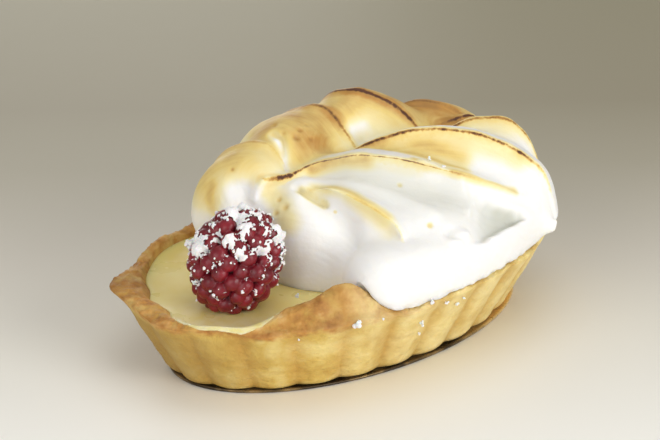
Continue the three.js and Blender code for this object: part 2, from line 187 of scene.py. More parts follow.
# Lines along which the meringue is browned away from its crests: how far each reaches and how hot it was
TORCHED = [
    ([(-19, 13, 42)], 8.5, 0.60), ([(-26.5, 18, 35)], 5.5, 0.46), ([(-26, 14, 33)], 2.2, 0.45),
    ([(-8, 18, 44)], 8, 0.66), ([(0, 15, 46)], 10, 0.70), ([(7, 12, 44)], 5, 0.58),
    ([(-4, 9, 43.5), (1, 8, 42.8)], 4.5, 0.50), ([(-6, 7, 41), (0, 5, 41.5)], 3.5, 0.5),
    ([(-25.2, 15.5, 35.8), (-26.4, 14.8, 33), (-27, 13, 30.5)], 1.3, 0.5),
    ([(-18.6, 4, 36.2), (-18.6, -0.4, 34.5), (-19.6, -4, 31.8)], 3.2, 0.3),
    ([(-11.6, -4.5, 38.4), (-8.2, -10.4, 38.6), (-7.1, -16.8, 37), (-5.8, -21, 34.8)], 1.8, 0.52),
    ([(-8.7, -12.7, 36.6), (-7.1, -18.2, 34.6), (-6.4, -23, 32.6)], 2.4, 0.22),
    # painted shadow: gold along the notch which, with its painted shade, gives the notch its olive dark
    (NOTCH, 0.9, 0.8),
    ([(-8, 1.1, 39.6), (-3.2, -2.9, 41.5), (1, -7, 41.8)], 1.5, 0.72),
    ([(1, -7, 41.6), (9.9, -15.1, 39.6)], 1.6, 0.14),
    ([(-4, -6, 39), (4.3, -14.7, 37.7)], 4.5, 0.05),
    ([(9.9, -13.4, 42), (14.7, -18.1, 39.9), (20.8, -23.1, 37.1), (25.7, -24.6, 34.8), (30, -25, 32.5)],
     1.1, 0.5),
    ([(16, 15, 48.5)], 9, 0.60), ([(25, 9, 44)], 7, 0.65), ([(38, 14, 39)], 14, 0.92),
    ([(46, 4, 38)], 8, 0.34),
    ([(8, 0, 42), (13, -5, 42.2), (17.7, -9.9, 41.5), (22.3, -14.9, 39.4)], 2.6, 0.5),
    ([(9.5, -3, 41.4), (12, -8.5, 41.6), (17, -15, 39.8), (20, -18.5, 38.6)], 1.8, 0.54),
    ([(17, -7, 43.4), (27, -14, 41), (35, -20, 37)], 3.0, 0.30), ([(44, -6, 41)], 6, 0.3),
    ([(-18, 24, 36)], 8, 0.6), ([(2, 27, 40)], 9, 0.7), ([(15, 27, 42)], 9, 0.7),
]

# The photograph's camera: its place round the pie, its focal length, and the pixel at which the middle of the
# pie's base is seen
CAMERA = dict(azimuth=-40.84, elevation=25.87, distance=650.0, focal_pixels=2814.0, sensor_mm=36)
IMAGE = dict(width=660, height=440)
BASE_PIXEL = (342.2, 320.9)

# The direction in the pie's plane that points to the right in the photograph
RIGHTWARDS = np.array([0.757, -0.654, 0])


# Numbers

def smoothstep(value, low, high):
    t = np.clip((value - low) / (high - low), 0, 1)
    return t * t * (3 - 2 * t)


def bell(value, centre, spread):
    return np.exp(-(((value - centre) / spread) ** 2))


def gradient_noise(points, size, seed):
    """Smooth noise from about -1 to 1, with features of one size in millimetres."""
    rng = np.random.default_rng(seed)
    table = rng.permutation(256)
    slopes = rng.normal(size=(256, 3))
    slopes /= np.linalg.norm(slopes, axis=1, keepdims=True)
    scaled = points / size
    cell = np.floor(scaled).astype(np.int64)
    inside = scaled - cell
    ease = inside ** 3 * (inside * (inside * 6 - 15) + 10)
    total = np.zeros(len(points))
    for corner in np.ndindex(2, 2, 2):
        key = table[(cell[:, 0] + corner[0]) & 255]
        key = table[(key + cell[:, 1] + corner[1]) & 255]
        key = table[(key + cell[:, 2] + corner[2]) & 255]
        weight = np.prod(np.where(corner, ease, 1 - ease), axis=1)
        total += weight * np.sum(slopes[key] * (inside - corner), axis=1)
    return total * 1.6


def layered_noise(points, size, seed, layers=3):
    return sum(gradient_noise(points, size / 2 ** k, seed + k) / 2 ** k for k in range(layers))


def curve_points(points, t):
    """Points along a smooth curve through the given ones, at fractions t of it."""
    p = np.array(points, float)
    p = np.vstack([2 * p[0] - p[1], p, 2 * p[-1] - p[-2]])
    place = np.clip(t, 0, 1) * (len(points) - 1)
    k = np.minimum(place.astype(int), len(points) - 2)
    a, b, c, d = p[k], p[k + 1], p[k + 2], p[k + 3]
    knots = [np.maximum(np.linalg.norm(q - r, axis=1), 1e-4) ** 0.5 for q, r in ((b, a), (c, b), (d, c))]
    k0, k1, k2 = (knot[:, None] for knot in knots)
    m1 = ((b - a) / k0 - (c - a) / (k0 + k1) + (c - b) / k1) * k1
    m2 = ((c - b) / k1 - (d - b) / (k1 + k2) + (d - c) / k2) * k1
    u = (place - k)[:, None]
    return ((2 * u ** 3 - 3 * u ** 2 + 1) * b + (u ** 3 - 2 * u ** 2 + u) * m1
            + (3 * u ** 2 - 2 * u ** 3) * c + (u ** 3 - u ** 2) * m2)


# Meshes

def mesh_object(name, verts, faces, attributes=None, scale=MM):
    """A mesh object from arrays in millimetres. faces is one array of triangles or quads, or a list."""
    mesh = bpy.data.meshes.new(name)
    groups = faces if isinstance(faces, list) else [faces]
    corners = np.concatenate([g.ravel() for g in groups]).astype(np.int32)
    sizes = np.concatenate([np.full(len(g), g.shape[1]) for g in groups])
    starts = np.concatenate([[0], np.cumsum(sizes)[:-1]]).astype(np.int32)
    mesh.vertices.add(len(verts))
    mesh.vertices.foreach_set("co", (np.asarray(verts) * scale).astype(np.float32).ravel())
    mesh.loops.add(len(corners))
    mesh.loops.foreach_set("vertex_index", corners)
    mesh.polygons.add(len(starts))
    mesh.polygons.foreach_set("loop_start", starts)
    mesh.polygons.foreach_set("use_smooth", np.ones(len(starts), bool))
    mesh.update(calc_edges=True)
    mesh.validate()
    for key, values in (attributes or {}).items():
        kind, field = ("FLOAT_VECTOR", "vector") if np.ndim(values) == 2 else ("FLOAT", "value")
        layer = mesh.attributes.new(key, kind, "POINT")
        layer.data.foreach_set(field, values.astype(np.float32).ravel())
    obj = bpy.data.objects.new(name, mesh)
    bpy.context.scene.collection.objects.link(obj)
    return obj


def ring_faces(rings, count):
    """Quads between closed rings of equal length, with a fan of triangles to a hub at each end."""
    r, i = np.meshgrid(np.arange(rings - 1), np.arange(count), indexing="ij")
    a = (r * count + i).ravel()
    b = (r * count + (i + 1) % count).ravel()
    quads = np.stack([a, b, b + count, a + count], axis=1)
    k = np.arange(count)
    first, last = rings * count, rings * count + 1
    top = (rings - 1) * count
    low_fan = np.stack([(k + 1) % count, k, np.full(count, first)], axis=1)
    high_fan = np.stack([top + k, top + (k + 1) % count, np.full(count, last)], axis=1)
    return [quads, np.vstack([low_fan, high_fan])]


def triangles(faces):
    """All faces as triangles."""
    parts = []
    for group in faces:
        for k in range(1, group.shape[1] - 1):
            parts.append(group[:, [0, k, k + 1]])
    return np.vstack(parts)


def skin(rings):
    """Vertices and faces of a closed stack of rings, with a hub at each end and the faces pointing out."""
    verts = np.vstack([rings.reshape(-1, 3), rings[0].mean(0), rings[-1].mean(0)])
    faces = ring_faces(len(rings), rings.shape[1])
    a, b, c = verts[triangles(faces).T]
    if np.sum(a * np.cross(b, c)) < 0:
        faces = [group[:, ::-1] for group in faces]
    return verts, faces


def joined(parts):
    """Several (vertices, triangles) as one."""
    verts, tris, start = [], [], 0
    for part_verts, part_tris in parts:
        verts.append(part_verts)
        tris.append(part_tris + start)
        start += len(part_verts)
    return np.vstack(verts), np.vstack(tris)


def ball(detail):
    """Vertices and triangles of an even unit ball."""
    work = bmesh.new()
    bmesh.ops.create_icosphere(work, subdivisions=detail, radius=1.0)
    verts = np.array([v.co[:] for v in work.verts])
    tris = np.array([[v.index for v in f.verts] for f in work.faces])
    work.free()
    return verts, tris


def one_skin(name, parts, voxel):
    """The outer skin of overlapping closed parts, as vertices and quads in millimetres."""
    verts, tris = joined(parts)
    obj = mesh_object(name, verts, tris, scale=1.0)
    cover = obj.modifiers.new("cover", "REMESH")
    cover.mode = "VOXEL"
    cover.voxel_size = voxel
    result = obj.evaluated_get(bpy.context.evaluated_depsgraph_get()).to_mesh()
    out = np.empty(len(result.vertices) * 3, np.float32)
    result.vertices.foreach_get("co", out)
    corners = np.empty(len(result.loops), np.int32)
    result.loops.foreach_get("vertex_index", corners)
    bpy.data.objects.remove(obj)
    return out.reshape(-1, 3).astype(float), corners.reshape(-1, 4)


def vertex_normals(verts, quads):
    across = np.cross(verts[quads[:, 2]] - verts[quads[:, 0]], verts[quads[:, 3]] - verts[quads[:, 1]])
    total = np.zeros_like(verts)
    for k in range(4):
        for axis in range(3):
            total[:, axis] += np.bincount(quads[:, k], across[:, axis], len(verts))
    return total / np.maximum(np.linalg.norm(total, axis=1, keepdims=True), 1e-12)


def relax(verts, quads, rounds):
    """Moves each vertex towards its neighbours' mean, as many times as rounds says for it."""
    ends = quads.ravel()
    others = np.roll(quads, -1, axis=1).ravel()
    share = np.maximum(np.bincount(ends, minlength=len(verts)), 1)
    verts = verts.copy()
    for k in range(int(rounds.max())):
        moving = (rounds > k)[:, None]
        sums = [np.bincount(ends, verts[others, axis], len(verts)) for axis in range(3)]
        mean = np.stack(sums, axis=1) / share[:, None]
        verts = np.where(moving, verts * 0.4 + mean * 0.6, verts)
    return verts


# The shell's oval

def oval_point(a, b, angle, inset, z):
    nx, ny = np.cos(angle) / a, np.sin(angle) / b
    scale = inset / np.hypot(nx, ny)
    x = a * np.cos(angle) - nx * scale
    y = b * np.sin(angle) - ny * scale
    return np.stack([x, y, z + 0 * angle], axis=-1)


def rim_point(angle, inset, z):
    return oval_point(SHELL["rim_a"], SHELL["rim_b"], angle, inset, z)


def shell_radii(fraction):
    """The shell's two radii at a fraction of the way from its foot up to its rim."""
    a = SHELL["foot_a"] + (SHELL["rim_a"] - SHELL["foot_a"]) * fraction
    b = SHELL["foot_b"] + (SHELL["rim_b"] - SHELL["foot_b"]) * fraction
    return a, b


def near_angle(angle, degrees, spread):
    """How near each angle is to a given one: 1 at it, falling off over a spread in degrees."""
    turn = np.angle(np.exp(1j * (angle - math.radians(degrees))))
    return bell(turn, 0, math.radians(spread))


def even_angles(count):
    """Angles that step round the rim in equal lengths, starting at the raspberry end."""
    fine = np.linspace(-math.pi, math.pi, 2881)
    p = rim_point(fine, 0, 0)
    length = np.concatenate([[0], np.cumsum(np.linalg.norm(np.diff(p, axis=0), axis=1))])
    return np.interp(np.arange(count) / count * length[-1], length, fine)


def rim_shape(angle):
    """How much the rim is lifted, flared and widened at each angle."""
    shape = {key: 0.0 * angle for key in ("lift", "flare", "widen", "ridge")}
    for feature in RIM_FEATURES:
        weight = near_angle(angle, feature["at"], feature["spread"])
        for key in shape:
            shape[key] = shape[key] + feature.get(key, 0) * weight
    shape["lift"] = shape["lift"] + 0.35 * np.sin(9 * angle + 1) + 0.25 * np.sin(17 * angle + 2.2)
    shape["widen"] = shape["widen"] + 0.4 * np.sin(11 * angle + 0.6)
    return shape


def shell_inside(angle, z, clearance):
    shape = rim_shape(angle)
    fraction = np.clip((z - SHELL["foot_z"]) / (SHELL["rim_z"] - SHELL["foot_z"]), 0, 1)
    a, b = shell_radii(fraction)
    wall = SHELL["wall"] + shape["widen"] * fraction - shape["flare"] * fraction * 0.4
    return oval_point(a, b, angle, wall + clearance, z)


def crown_height(across, shape):
    """Height of the rim's top surface, from its outer edge (0) to the curd (1)."""
    up = np.interp(across, [0, 0.12, 0.45, 0.8, 1], [-0.25, 0.25, 0.6, 0.1, CURD["level"] - SHELL["rim_z"]])
    ridge = shape["ridge"] * smoothstep(across, 0, 0.72) * (1 - smoothstep(across, 0.72, 1))
    return SHELL["rim_z"] + up + shape["lift"] * (1 - across ** 3) + ridge


def rim_inset(points):
    """The oval angle of each point, and how far inside the rim's outer edge it lies."""
    x, y = points[:, 0], points[:, 1]
    a, b = SHELL["rim_a"], SHELL["rim_b"]
    radius = np.hypot(x / a, y / b)
    slope = np.hypot(x / a ** 2, y / b ** 2) / np.maximum(radius, 1e-6)
    return np.arctan2(y / b, x / a), (1 - radius) / slope


# Pieces

def crust_rings(angle, wave, shape):
    """The shell's rings, and each point's height up the wall and place across the crown (above 1 inside)."""
    rings, height, crown = [], [], []
    for fraction in np.concatenate([[0, 0.015], np.linspace(0.05, 0.97, SHELL_RINGS["wall"])]):
        a, b = shell_radii(fraction)
        fade = 1 - 0.6 * smoothstep(fraction, 0.75, 1)
        bend = smoothstep(fraction, 0.6, 1)
        foot = 0.3 * (1 - smoothstep(fraction, 0, 0.03))
        z = SHELL["foot_z"] + fraction * (SHELL["rim_z"] - SHELL["foot_z"]) + shape["lift"] * bend * 0.8
        inset = FLUTES["depth"] * (1 - wave) * fade + foot - shape["flare"] * bend
        rings.append(oval_point(a, b, angle, inset, z))
        height.append(fraction)
        crown.append(0)
    outside = rim_point(angle, -shape["flare"], 0)
    inside = shell_inside(angle, CURD["level"], 0)
    for across in np.linspace(0.05, 1, SHELL_RINGS["crown"]):
        point = outside + (inside - outside) * across
        point[:, 2] = crown_height(across, shape)
        rings.append(point)
        height.append(1)
        crown.append(across)
    for z in np.linspace(CURD["level"] - 0.8, SHELL["foot_z"] + SHELL["floor"], SHELL_RINGS["inside"]):
        rings.append(shell_inside(angle, z, 0))
        height.append(1)
        crown.append(1.2)
    return np.array(rings), np.repeat(height, len(angle)), np.repeat(crown, len(angle))


def crust_shades(flat, height, crown, top, ridge, flare):
    """How baked and dark the shell is, the painted shade on its left side and how pale it is towards the
    right.
    """
    toward_right = flat @ RIGHTWARDS
    # the rim paler and less browned towards the camera's right
    pale = smoothstep(toward_right, 14, 30)
    baked = smoothstep(height, 0.78, 1.0) * (0.8 - 0.55 * pale) + 0.12 * layered_noise(flat, 7, 51)
    # painted shade: the wall below the rim darkens towards the camera's left, away from the key light
    left_painted_shade = (1 - smoothstep(toward_right, -46, -4)) * (1 - smoothstep(height, 0.8, 0.98))
    lip = 0.45 * bell(crown, 0.02, 0.12) * (1 - pale) * smoothstep(height, 0.97, 1)
    dark = 0.5 * smoothstep(flare, 0.6, 3) + 0.25 * smoothstep(ridge, 1.5, 6) + lip
    return dict(baked=np.clip(baked, 0, 1), dark=np.clip(dark, 0, 1) * top, left_painted_shade=left_painted_shade,
                # pale: how far towards the camera's right the wall is, the mask of its painted sheen
                pale=smoothstep(toward_right, -8, 18))


def make_crust():
    count = FLUTES["count"] * FLUTES["steps"]
    angle = even_angles(count)
    turns = np.arange(count) / count * FLUTES["count"] - FLUTES["phase"]
    wave = (np.cos(math.pi * turns) ** 2 + 0.012) ** 0.4
    shape = rim_shape(angle)
    rings, height, crown = crust_rings(angle, wave, shape)
    flat = rings.reshape(-1, 3)
    around, valley, ridge, flare = np.tile([angle, 1 - wave, shape["ridge"], shape["flare"]], len(rings))
    out = flat * np.array([1, (SHELL["rim_a"] / SHELL["rim_b"]) ** 2, 0])
    out /= np.maximum(np.linalg.norm(out, axis=1, keepdims=True), 1e-9)
    top = smoothstep(height, 0.8, 1) * (crown < 1.1)
    push = out * (1 - top[:, None] * 0.6) + np.array([0, 0, 1.0]) * top[:, None]
    foot_fade = smoothstep(flat[:, 2], SHELL["foot_z"] + 0.2, SHELL["foot_z"] + 1.5)
    rough = 0.22 * layered_noise(flat, 6.0, 11) + 0.10 * layered_noise(flat, 1.6, 21)
    crags = 0.45 * layered_noise(flat, 4.5, 31) + 0.28 * np.abs(layered_noise(flat, 1.7, 41)) - 0.1
    under_lap = near_angle(around, CURD_LAP["at"], CURD_LAP["spread"])
    crags *= 1 - 0.8 * under_lap * smoothstep(crown, 0.05, 0.25)
    amount = np.where(crown > 1.1, 0, rough * foot_fade * (1 - top) + crags * top)
    flat = flat + push * amount[:, None]
    shades = crust_shades(flat, height, crown, top, ridge, flare)
    shades.update(glaze=under_lap * smoothstep(crown, 0.1, 0.7), valley=valley)
    both_hubs = np.zeros(2)
    shades = {name: np.append(values, both_hubs) for name, values in shades.items()}
    verts, faces = skin(flat.reshape(rings.shape))
    return mesh_object("pastry_shell", verts, faces, shades)


def make_curd():
    angle = even_angles(480)
    shape = rim_shape(angle)
    inner = shell_inside(angle, CURD["level"], -0.15)
    outer = rim_point(angle, -shape["flare"], 0)
    bottom = SHELL["foot_z"] + SHELL["floor"] + GAPS["curd"]
    rings = [shell_inside(angle, z, GAPS["curd"]) for z in (bottom, CURD["level"] - 3)]
    film = [0 * angle, 0 * angle]
    ragged = 1 + 0.5 * gradient_noise(inner, 5.0, 65)
    milky = near_angle(angle, CURD_LAP["at"], CURD_LAP["milky"])
    lap = CURD_LAP["share"] * near_angle(angle, CURD_LAP["at"], CURD_LAP["spread"])
    lap = np.clip(lap * ragged, 0, 0.9)
    for part in (1.0, 0.98, 0.93, 0.85, 0.75, 0.65, 0.55, 0.45, 0.35, 0.25, 0.15, 0.07, 0.0):
        across = 1 - lap * part
        ring = inner + (outer - inner) * (1 - across)[:, None]
        thick = 0.3 * math.sqrt(1 - part ** 6) * smoothstep(lap, 0, 0.2)
        ring[:, 2] = crown_height(across, shape) + thick + 0.02
        rings.append(ring)
        film.append(milky)
    for shrink in np.concatenate([np.linspace(0.997, 0.9, 14), np.linspace(0.88, 0.04, 70)]):
        ring = inner * np.array([shrink, shrink, 1])
        climb = (0.35 + 0.2 * smoothstep(lap, 0, 0.3)) * np.exp(-(1 - shrink) * 40)
        ring[:, 2] = CURD["level"] + climb - 0.05 + CURD["dome"] * (1 - shrink)
        ring[:, 2] += 0.07 * layered_noise(ring * [1, 1, 0], 12, 61, 2) * (1 - 0.7 * shrink ** 6)
        rings.append(ring)
        film.append(milky * smoothstep(shrink, 0.66, 0.97))
    verts, faces = skin(np.array(rings))
    film = np.append(np.concatenate(film), np.zeros(2))
    # painted light: how much the curd is lightened near the meringue
    painted_light = bell(np.linalg.norm(verts[:, :2] - CURD_PAINTED_LIGHT["at"], axis=1), 0, CURD_PAINTED_LIGHT["reach"])
    return mesh_object("lemon_curd_filling", verts, faces, dict(film=film, painted_light=painted_light))


def make_card():
    angle = even_angles(360)
    shift = np.array([*CARD["shift"], 0])
    rings = []
    thick, lip = CARD["thick"], CARD["lip"]
    profile = [(0.5, 0), (0.1, 0.15), (0, 0.4), (0, thick), (0.12, lip - 0.03), (0.35, lip),
               (0.8, thick + 0.02), (1.4, thick), (12, thick)]
    for inset, z in profile:
        ring = oval_point(CARD["a"], CARD["b"], angle, inset, z) + shift
        if z > 0.2:
            ring[:, 2] += 0.08 * smoothstep(z, 0.3, 0.7) * np.sin(7 * angle) * np.sin(3 * angle + 1)
        rings.append(ring)
    verts, faces = skin(np.array(rings))
    return mesh_object("oval_card", verts, faces)


def berry_beads():
    """Drupelet centres, as offsets from the berry's middle, and their sizes."""
    rng = np.random.default_rng(5)
    count = BERRY["drupelets"]
    i = np.arange(count)
    up = 1 - 2 * (i + 0.5) / count
    out = np.sqrt(1 - up ** 2)
    turn = i * math.pi * (3 - math.sqrt(5))
    centres = np.stack([out * np.cos(turn), out * np.sin(turn), up], axis=1)
    centres += rng.normal(0, 0.035, centres.shape)
    centres /= np.linalg.norm(centres, axis=1, keepdims=True)
    return centres * BERRY_HALF * BERRY["bead_depth"], BERRY["bead"] * rng.uniform(0.94, 1.12, count)


def berry_reach(direction):
    """How far the berry's skin and its core are from its middle along unit directions."""
    centres, sizes = berry_beads()
    base = 1 / np.linalg.norm(direction / BERRY_HALF, axis=1) - BERRY["core"]
    near = direction @ centres.T
    inside = near ** 2 - np.sum(centres ** 2, axis=1) + sizes ** 2
    hits = np.where(inside > 0, near + np.sqrt(np.maximum(inside, 0)), 0)
    sharp, shift = 6.0, 14
    rounded = np.exp(sharp * (hits - shift)).sum(1) + np.exp(sharp * (base - shift))
    return np.log(rounded) / sharp + shift, base


def berry_warp(verts):
    """Narrows the berry's lower half and leans its top over."""
    height = verts[:, 2] / BERRY["tall"]
    narrow = 1 - BERRY["narrow"] * smoothstep(-height, -0.1, 1.0) + 0.03 * smoothstep(height, 0, 0.8)
    verts = verts * np.stack([narrow, narrow, np.ones(len(verts))], axis=1)
    verts[:, :2] += np.outer(height, BERRY["lean"])
    return verts


def make_berry():
    direction, tris = ball(7)
    reach, base = berry_reach(direction)
    verts = direction * reach[:, None]
    verts *= (1 + 0.010 * layered_noise(verts, 1.6, 71))[:, None]
    groove = smoothstep(reach - base, 0.2, 2.2)
    verts = berry_warp(verts) + BERRY["centre"]
    verts[:, 2] = np.maximum(verts[:, 2], CURD["level"] + GAPS["berry"])
    return mesh_object("raspberry_fruit", verts, tris, dict(groove=groove))


def sugar_cover(direction):
    """How thickly icing sugar lies over the berry, below zero where it is bare."""
    sideways = direction @ RIGHTWARDS
    cap = smoothstep(direction[:, 2], -0.15, 0.95) * 0.95
    rims = 0.45 * smoothstep(np.abs(sideways), 0.55, 1) * smoothstep(direction[:, 2], -0.6, 0)
    clumps = layered_noise(direction * 10, 3.4, 81, 2)
    grains = layered_noise(direction * 10, 1.05, 91, 2)
    return 0.9 * clumps + 0.6 * grains + cap + rims - 0.88


def rough_grain(rng, unit, size, stretch, rough):
    """A lumpy grain, from the vertices of a unit ball."""
    grain = unit * size * rng.uniform(*stretch, 3)
    return grain * (1 + rough * gradient_noise(unit * 3 + rng.uniform(0, 90, 3), 1.4, 91))[:, None]


def fallen_grains(rng, unit, tris):
    """Small clumps of sugar on the rim, the wall and the meringue."""
    parts = []
    for point, size in FALLEN_SUGAR:
        for _ in range(SUGAR["grains_in_clump"]):
            offset = rng.normal(0, 0.45 * size, 3)
            grain = rough_grain(rng, unit, size * rng.uniform(0.45, 0.75), (0.8, 1.15), 0.25)
            parts.append((grain + offset + point, tris))
    return parts


def make_icing_sugar():
    """The powder as one mesh: a rough film and loose grains on the berry, and a few clumps beside it."""
    rng = np.random.default_rng(17)
    direction, tris = ball(7)
    cover = sugar_cover(direction)
    reach = berry_reach(direction)[0]
    fluff = 0.11 * layered_noise(direction * 10, 0.6, 95, 2)
    film = direction * (reach + 0.02 + np.sqrt(np.clip(cover, 0, 0.6)) * 0.85 + fluff)[:, None]
    keep = tris[(cover[tris] > 0).all(axis=1)]
    used, keep = np.unique(keep, return_inverse=True)
    parts = [(film[used], keep.reshape(-1, 3))]
    unit, unit_tris = ball(2)
    while len(parts) < SUGAR["parts"]:
        aim = rng.normal(size=(1, 3))
        aim /= np.linalg.norm(aim)
        if aim[0, 2] < -0.8 or rng.random() > smoothstep(sugar_cover(aim)[0], -0.75, 0.1) + 0.03:
            continue
        size = 0.10 + 0.32 * rng.random() ** 2
        grain = rough_grain(rng, unit, size, (0.7, 1.2), 0.4)
        parts.append((grain + aim * (berry_reach(aim)[0][0] + size * 0.5), unit_tris))
    verts, faces = joined(parts)
    verts = berry_warp(verts) + BERRY["centre"]
    verts[:, 2] = np.maximum(verts[:, 2], CURD["level"] + GAPS["sugar"])
    verts, faces = joined([(verts, faces)] + fallen_grains(rng, unit, unit_tris))
    return mesh_object("icing_sugar", verts, faces)


def fold_part(fold, index):
    """One fold as a closed skin of sections strung along its crest."""
    s = np.linspace(0, 1, 110)
    crest = curve_points(fold["crest"], s)
    ends = np.sin(math.pi * s) ** 0.5
    crest[:, 2] += 0.35 * ends * gradient_noise(crest, 4.0, 100 + index)
    crest[:, 0] += 0.45 * ends * gradient_noise(crest, 5.0, 120 + index)
    face, back = np.array(fold["face"], float), np.array(fold["back"], float)
    opening = (0.35 + 0.65 * np.sin(math.pi * (s * 0.9 + 0.08)))[:, None]
    toe = crest + face * opening
    heel = crest + back * opening
    outward = np.cross(np.gradient(crest, axis=0), face)
    outward /= np.linalg.norm(outward, axis=1, keepdims=True)
    outward *= np.where(outward @ (face * [1, 1, 0]) < 0, -1, 1)[:, None]
    columns = [crest]
    for part in np.linspace(0.03, 0.97, 26):
        swell = -fold["hollow"] * math.sin(math.pi * part)
        lip = -0.7 * bell(part, 0.16, 0.12)
        columns.append(crest + (toe - crest) * part + outward * (swell + lip) * opening)
    columns.append(toe)
    for share in (0.15, 0.85):
        foot = toe + (heel - toe) * share
        over_x = foot[:, 0] / (SHELL["rim_a"] - MERINGUE["inside"])
        over_y = foot[:, 1] / (SHELL["rim_b"] - MERINGUE["inside"])
        draw = np.maximum(1, np.hypot(over_x, over_y))
        floor = np.full(len(s), MERINGUE["floor"])
        columns.append(np.stack([foot[:, 0] / draw, foot[:, 1] / draw, floor], axis=1))
    columns.append(heel)
    for part in np.linspace(0.95, 0.03, 24):
        rise = 1.4 * math.sin(math.pi * part) + 0.35 * bell(part, 0.08, 0.06)
        columns.append(crest + (heel - crest) * part + np.array([0, 0, 1]) * rise * opening)
    verts, faces = skin(np.stack(columns, axis=1))
    return verts, triangles(faces)


def mass_part(middle, half_sizes, degrees):
    unit, tris = ball(5)
    c, s = math.cos(math.radians(degrees)), math.sin(math.radians(degrees))
    spin = np.array([[c, -s, 0], [s, c, 0], [0, 0, 1]])
    return (unit * half_sizes) @ spin.T + middle, tris


def roll_part():
    along = np.concatenate([
        np.linspace(0.001, 0.04, 10), np.linspace(0.045, 0.955, 160), np.linspace(0.96, 0.999, 10)])
    angle = np.radians(ROLL["start"] + (ROLL["end"] - ROLL["start"]) * along)
    from_end = np.minimum(np.minimum(along, 1 - along) / 0.04, 1)
    end = np.sqrt(1 - (1 - from_end) ** 2)
    columns = []
    for turn in np.linspace(0, 2 * math.pi, 48, endpoint=False):
        c, s = math.cos(turn), math.sin(turn)
        across = math.copysign(abs(c) ** (2 / ROLL["square"]), c)
        up = math.copysign(abs(s) ** (2 / ROLL["square"]), s)
        inset = ROLL["inset"] - ROLL["half"] * end * across
        z = ROLL["z"] + ROLL["tall"] * end * up
        columns.append(rim_point(angle, inset, z))
    verts, faces = skin(np.stack(columns, axis=1))
    return verts, triangles(faces)


def nearest_crest(verts):
    """Each point's distance from the nearest crest, that crest's fold and the place along it."""
    s = np.linspace(0, 1, 240)
    tree = kdtree.KDTree(len(FOLDS) * len(s))
    notes = []
    for index, fold in enumerate(FOLDS):
        for place, point in zip(s, curve_points(fold["crest"], s)):
            tree.insert(point, len(notes))
            notes.append((index, place))
    tree.balance()
    found = [tree.find(p) for p in verts]
    distance = np.array([f[2] for f in found])
    fold_id, place = np.transpose([notes[f[1]] for f in found])
    return distance, fold_id.astype(int), place


def near_line(verts, line, reach):
    """How near each point is to a smooth line: 1 on it, falling off over its reach."""
    if len(line) == 1:
        return bell(np.linalg.norm(verts - line[0], axis=1), 0, reach)
    nearest = np.full(len(verts), np.inf)
    stops = curve_points(line, np.linspace(0, 1, 4 * len(line)))
    for a, b in zip(stops, stops[1:]):
        along = np.clip((verts - a) @ (b - a) / np.sum((b - a) ** 2), 0, 1)
        nearest = np.minimum(nearest, np.linalg.norm(verts - a - along[:, None] * (b - a), axis=1))
    return bell(nearest, 0, reach)


def pocket_share(verts):
    """How far each point is inside the open pocket, and how far above its floor."""
    a, b, c = np.array(POCKET["corners"])
    across = np.cross(b - a, c - a)
    area = np.linalg.norm(across)
    facing = across / area
    facing *= np.sign(facing @ np.array([0, -1, 0.5]))
    wander = 0.05 * layered_noise(verts, 5.0, 211, 2)
    inside = np.ones(len(verts))
    shares = []
    for (p, q), soft in zip(((b, c), (c, a), (a, b)), POCKET["soft"]):
        share = np.cross(q - p, verts - p) @ (across / area) / area + wander
        shares.append(share)
        inside *= smoothstep(share, 0, soft)
    height = (verts - a) @ facing
    depth = POCKET["depth"] * np.clip(1 - shares[2], 0, 1)
    inside *= np.abs(height) < 8
    return inside, np.maximum(height + depth, 0), facing, smoothstep(shares[1], 0.15, 0.6)


def press_in(verts, normals):
    """Dents, swellings, pits and the open pocket, and how much painted shade greys each point."""
    for line, depth, reach in PRESSES:
        push = depth * near_line(verts, line, reach)
        verts = verts - normals * push[:, None]
    for point, reach in PITS:
        push = 1.3 * reach * near_line(verts, [point], reach)
        verts = verts - normals * push[:, None]
    inside, above, facing, right = pocket_share(verts)
    move = above * inside
    # painted shade: the pocket greyed where it is deep, most towards its right side
    hollow = smoothstep(move, 0.2, 2.4) * (0.35 + 0.65 * right)
    for line, reach, share in PAINTED_SHADE_LINES:
        hollow = np.maximum(hollow, share * near_line(verts, line, reach))
    return verts - facing * move[:, None], hollow


def browning(verts, normals, fold_id, place):
    """How gold each point is, and how dark the crest beside it."""
    heat = np.ones(len(verts))
    for line, reach, strength in TORCHED:
        heat *= 1 - strength * near_line(verts, line, reach)
    for line, reach in PALE:
        heat = 1 - (1 - heat) * (1 - near_line(verts, line, reach))
    for point, reach in PITS:
        heat *= 1 - 0.7 * near_line(verts, [point], reach)
    gold = (1 - np.maximum(heat, 0)) * (0.9 + 0.2 * layered_noise(verts, 9, 161))
    gold *= 0.6 + 0.4 * smoothstep(normals[:, 2], -0.3, 0.5)
    edge = np.array([f["edge"] for f in FOLDS])[fold_id] * (0.5 + 0.5 * smoothstep(place, 0.0, 0.15))
    fade = np.array([f.get("fade", 1.0) for f in FOLDS])[fold_id]
    edge *= 1 - smoothstep(place, fade - 0.15, fade + 0.15)
    edge *= 0.85 + 0.35 * layered_noise(verts, 4.0, 171)
    return np.clip(gold, 0, 1), np.clip(edge, 0, 1.4)


def rest_on_shell(verts, normals):
    """Lifts the underside onto the curd and the rim, and frays its lower edge."""
    angle, inset = rim_inset(verts)
    shape = rim_shape(angle)
    wall = SHELL["wall"] + shape["widen"] - shape["flare"] * 0.4
    across = np.clip((inset + shape["flare"]) / (wall + shape["flare"]), 0, 1)
    support = crown_height(across, shape) + GAPS["meringue"]
    verts[:, 2] = np.maximum(verts[:, 2], np.minimum(support, verts[:, 2] + 12))
    fringe = bell(verts[:, 2] - support, 0.4, 1.1) * (across < 1)
    return verts + normals * (0.4 * layered_noise(verts, 2.4, 181, 2) * fringe)[:, None]


